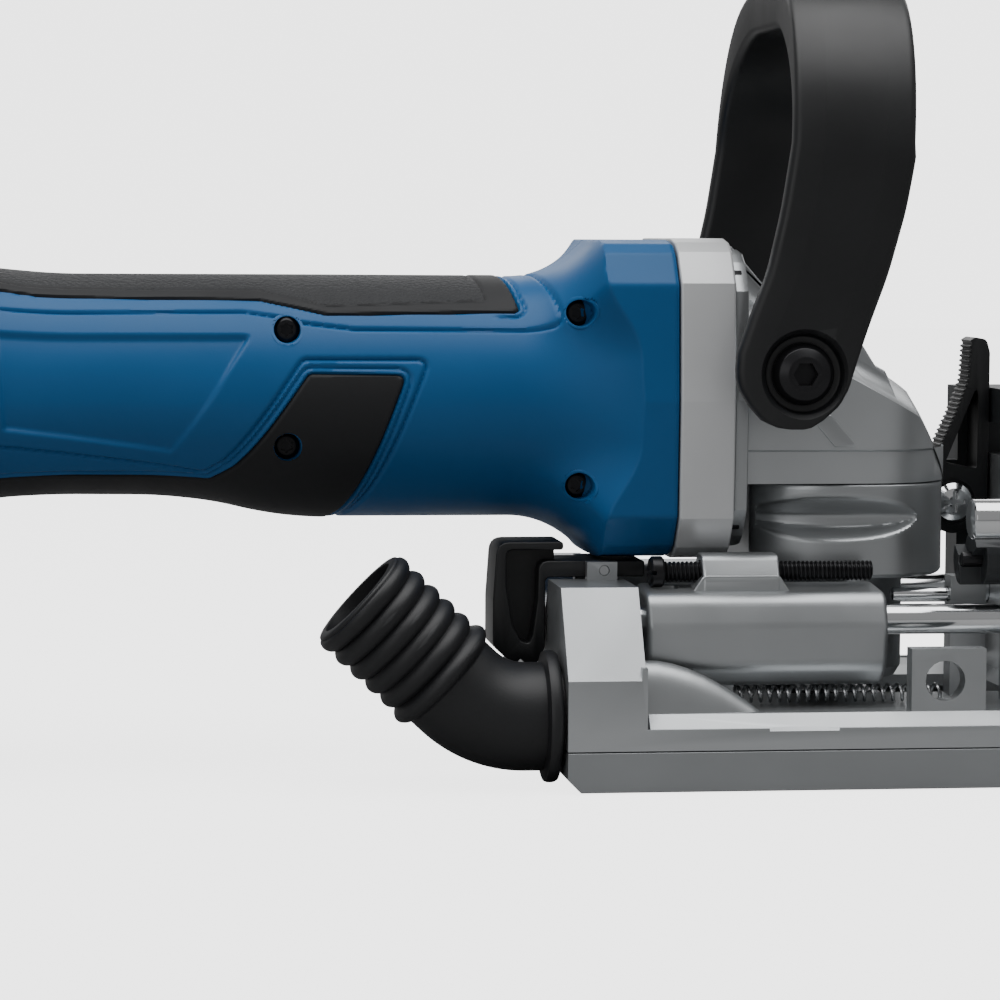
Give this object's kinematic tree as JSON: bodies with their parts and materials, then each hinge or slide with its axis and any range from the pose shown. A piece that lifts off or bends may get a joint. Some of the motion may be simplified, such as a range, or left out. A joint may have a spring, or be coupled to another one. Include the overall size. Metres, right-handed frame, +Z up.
{
  "type": "biscuit joiner",
  "caption": "Cordless biscuit joiner with a bow handle, plunging motor unit, tilting fence, dust elbow and slide-on battery.",
  "frame": {"origin": "on the flat sole of the base, under the blade spindle with the motor unit at rest", "axes": "+X from the battery towards the fence, along the plunge; +Z up, along the spindle; -Y is the tool's right side"},
  "size_m": [0.413, 0.12, 0.1845],
  "materials": {
    "cast_aluminium": "satin, die-cast and blasted",
    "dark_casting": "satin black",
    "flange_paint": "light grey paint, satin",
    "chrome_steel": "polished",
    "bright_steel": "ground",
    "black_steel": "black oxide",
    "blue_plastic": "fine moulded grain",
    "black_rubber": "matt, micro-textured",
    "black_plastic": "fine moulded grain",
    "grey_plastic": "fine moulded grain"
  },
  "bodies": {
    "base": {"base_casting": "cast_aluminium", "bottom_cover": "cast_aluminium", "guide_rod_right": "chrome_steel", "guide_rod_left": "chrome_steel", "anti_slip_pad_right": "black_rubber", "anti_slip_pad_left": "black_rubber", "stop_pin": "chrome_steel", "lock_lever_pin": "bright_steel", "turret_screw": "black_steel", "return_spring_right": "bright_steel", "return_spring_left": "bright_steel"},
    "turret": {"depth_turret": "dark_casting"},
    "lock_lever": {"rear_lock_lever": "black_plastic"},
    "elbow": {"dust_elbow": "black_rubber"},
    "fence": {"fence_carrier": "dark_casting", "fence_hinge_pin": "bright_steel", "clamp_bolt": "chrome_steel", "clamp_screw": "chrome_steel"},
    "tilting_fence": {"fence_plate": "cast_aluminium"},
    "height_clamp": {"clamp_lever": "black_plastic"},
    "angle_lock": {"angle_lock_knob": "black_plastic"},
    "motor_unit": {"housing_right": "blue_plastic", "housing_left": "blue_plastic", "top_soft_grip": "black_rubber", "lower_soft_grip": "black_rubber", "gear_flange": "flange_paint", "gear_casting_upper": "cast_aluminium", "gear_casting_lower": "cast_aluminium", "slide_sleeve_right": "cast_aluminium", "slide_sleeve_left": "cast_aluminium", "bow_handle": "black_plastic", "handle_screw_right": "black_steel", "handle_screw_left": "black_steel", "lock_nut": "black_steel", "stator": "black_steel", "bearing_front": "bright_steel", "bearing_rear": "bright_steel", "spindle_bearing_upper": "bright_steel", "spindle_bearing_lower": "bright_steel", "control_board": "grey_plastic", "terminal_block": "grey_plastic", "housing_screw_rear_upper": "black_steel", "housing_screw_rear_lower": "black_steel", "housing_screw_front_upper": "black_steel", "housing_screw_front_lower": "black_steel"},
    "stop_screw": {"depth_screw": "black_steel"},
    "cutter": {"spindle": "bright_steel", "bevel_gear": "bright_steel", "blade_flange": "bright_steel", "blade": "bright_steel", "blade_nut": "bright_steel"},
    "armature": {"rotor": "black_steel", "fan": "black_plastic", "bevel_pinion": "bright_steel"},
    "switch": {"switch_slider": "black_plastic"},
    "spindle_lock": {"spindle_lock_button": "black_plastic"},
    "battery": {"battery_pack": "black_plastic"},
    "battery_latch": {"battery_button": "grey_plastic"}
  },
  "joints": [
    {"name": "plunge", "type": "slide", "parent": "base", "child": "motor_unit", "axis": [1, 0, 0], "range_m": [0, 0.0205], "stiffness_N_per_m": 1500, "springref_m": -0.01, "deforming": ["return_spring_right", "return_spring_left"]},
    {"name": "blade_spin", "type": "hinge", "parent": "motor_unit", "child": "cutter", "pos_m": [0, 0, 0.01], "axis": [0, 0, 1], "continuous": true},
    {"name": "armature_spin", "type": "hinge", "parent": "motor_unit", "child": "armature", "pos_m": [-0.13, 0, 0.0864], "axis": [1, 0, 0], "continuous": true},
    {"name": "stop_screw_adjust", "type": "slide", "parent": "motor_unit", "child": "stop_screw", "axis": [1, 0, 0], "range_m": [-0.003, 0]},
    {"name": "turret_turn", "type": "hinge", "parent": "base", "child": "turret", "pos_m": [0.0216, -0.036, 0.05], "axis": [1, 0, 0], "continuous": true},
    {"name": "rear_lock_turn", "type": "hinge", "parent": "base", "child": "lock_lever", "pos_m": [-0.06, -0.0158, 0.047], "axis": [0, 1, 0], "range_deg": [0, 9], "stiffness_Nm_per_rad": 0.2, "springref_deg": -17.19},
    {"name": "elbow_swivel", "type": "hinge", "parent": "base", "child": "elbow", "pos_m": [-0.073, -0.043, 0.0155], "axis": [1, 0, 0], "range_deg": [0, 90]},
    {"name": "fence_height", "type": "slide", "parent": "base", "child": "fence", "axis": [0, 0, 1], "range_m": [0, 0.03]},
    {"name": "fence_tilt", "type": "hinge", "parent": "fence", "child": "tilting_fence", "pos_m": [0.066, 0, 0.025], "axis": [0, -1, 0], "range_deg": [0, 90]},
    {"name": "height_clamp_turn", "type": "hinge", "parent": "fence", "child": "height_clamp", "pos_m": [0.0373, 0.0381, 0.0582], "axis": [0, -1, 0], "range_deg": [0, 15]},
    {"name": "angle_lock_turn", "type": "hinge", "parent": "fence", "child": "angle_lock", "pos_m": [0.066, 0.058, 0.025], "axis": [0, 1, 0], "range_deg": [-20, 60]},
    {"name": "switch_slide", "type": "slide", "parent": "motor_unit", "child": "switch", "axis": [1, 0, 0], "range_m": [0, 0.006]},
    {"name": "spindle_lock_press", "type": "slide", "parent": "motor_unit", "child": "spindle_lock", "axis": [0, -1, 0], "range_m": [0, 0.003], "stiffness_N_per_m": 400, "springref_m": -0.001},
    {"name": "battery_slide", "type": "slide", "parent": "motor_unit", "child": "battery", "axis": [0, 0, -1], "range_m": [0, 0.06]},
    {"name": "battery_latch_press", "type": "slide", "parent": "battery", "child": "battery_latch", "axis": [1, 0, 0], "range_m": [0, 0.002], "stiffness_N_per_m": 400, "springref_m": -0.001}
  ],
  "couplings": [
    {"joint": "armature_spin", "follows": "blade_spin", "ratio": -3}
  ]
}
